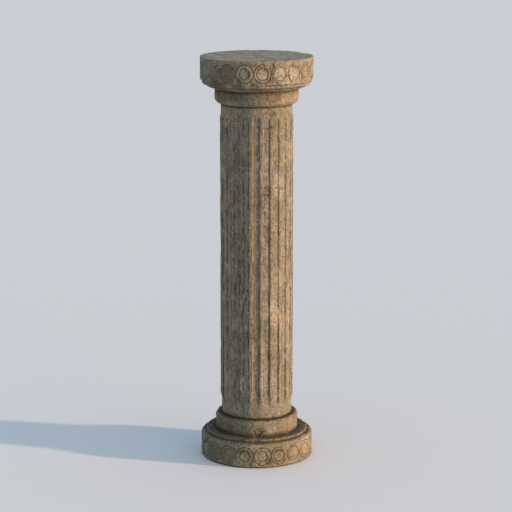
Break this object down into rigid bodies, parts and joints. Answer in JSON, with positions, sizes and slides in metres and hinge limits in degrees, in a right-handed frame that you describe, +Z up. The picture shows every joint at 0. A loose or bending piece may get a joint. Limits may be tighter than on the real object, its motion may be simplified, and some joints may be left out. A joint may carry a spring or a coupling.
{
  "type": "carved stone pillar",
  "caption": "Free-standing round stone pillar: plinth and abacus with bands of carved rings, a shaft with shallow upright ribs, flat bearing top.",
  "frame": {"origin": "middle of the underside of the base, on the pillar's axis", "axes": "+Z up the pillar's axis; -Y is the front, the side that the reference view looks at; +X to its right"},
  "size_m": [2.0842, 2.0842, 7.5],
  "materials": {
    "stone": "weathered, dressed sandstone with dirt and lichen"
  },
  "bodies": {
    "root": {"base": "stone", "shaft": "stone", "capital": "stone"}
  },
  "joints": []
}
